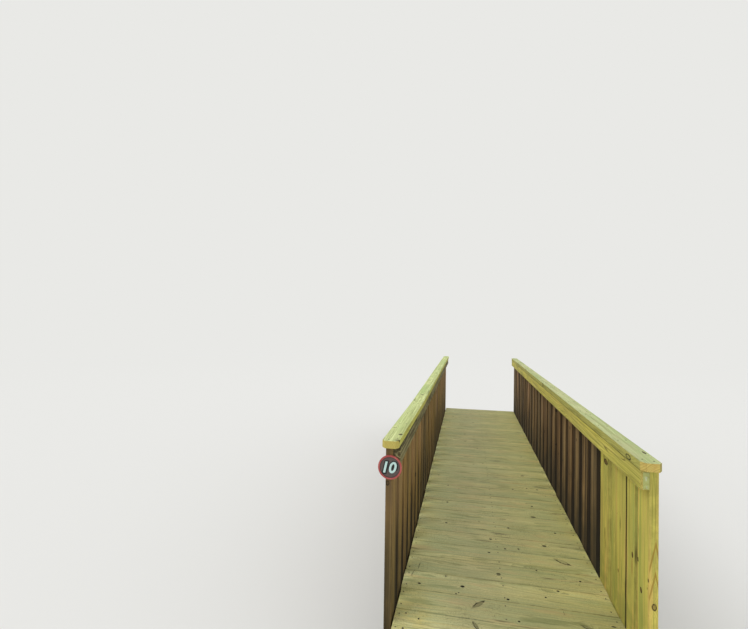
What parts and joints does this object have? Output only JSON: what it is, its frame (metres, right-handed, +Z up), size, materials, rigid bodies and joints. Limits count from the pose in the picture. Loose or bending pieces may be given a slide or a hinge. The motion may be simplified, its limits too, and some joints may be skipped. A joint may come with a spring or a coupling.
{
  "type": "wooden footbridge",
  "caption": "Straight timber footbridge: plank deck on stringers, with a capped board railing along each side, resting on two sill timbers.",
  "frame": {"origin": "middle of the bridge in plan, on the underside of the two sill timbers", "axes": "+Y along the span in the walking direction, +X to the walker's right, +Z up"},
  "size_m": [1.4, 5.917, 1.394],
  "materials": {
    "sill_timber": "sawn, damp and dirty",
    "frame_timber": "sawn, treated",
    "deck_planks": "new treated pine, slightly greenish, with dark knots",
    "old_boards_left": "weathered brown",
    "old_boards_right": "weathered, dark brown",
    "old_side_rail": "weathered grey-brown",
    "new_boards": "new treated pine, yellow",
    "cap_rails": "new treated pine, pale green",
    "plaque": "dark painted plate with a red rim"
  },
  "bodies": {
    "root": {"near_sill": "sill_timber", "far_sill": "sill_timber", "left_stringer": "frame_timber", "middle_stringer": "frame_timber", "right_stringer": "frame_timber", "near_header": "frame_timber", "far_header": "frame_timber", "near_blocking": "frame_timber", "middle_blocking": "frame_timber", "far_blocking": "frame_timber", "deck_planks_1": "deck_planks", "deck_planks_2": "deck_planks", "deck_planks_3": "deck_planks", "deck_planks_4": "deck_planks", "deck_planks_5": "deck_planks", "deck_planks_6": "deck_planks", "deck_planks_7": "deck_planks", "deck_planks_8": "deck_planks", "left_near_post": "old_boards_left", "left_far_post": "old_boards_left", "left_pickets_1": "old_boards_left", "left_pickets_2": "old_boards_left", "left_pickets_3": "old_boards_left", "left_pickets_4": "old_boards_left", "left_pickets_5": "old_boards_left", "right_near_post": "new_boards", "right_far_post": "old_boards_right", "right_new_board_narrow": "new_boards", "right_new_board_wide": "new_boards", "right_new_board_last": "new_boards", "right_pickets_1": "old_boards_right", "right_pickets_2": "old_boards_right", "right_pickets_3": "old_boards_right", "right_pickets_4": "old_boards_right", "right_pickets_5": "old_boards_right", "left_side_rail": "old_side_rail", "right_side_rail": "new_boards", "left_cap": "cap_rails", "right_cap": "cap_rails", "number_plaque": "plaque"}
  },
  "joints": []
}
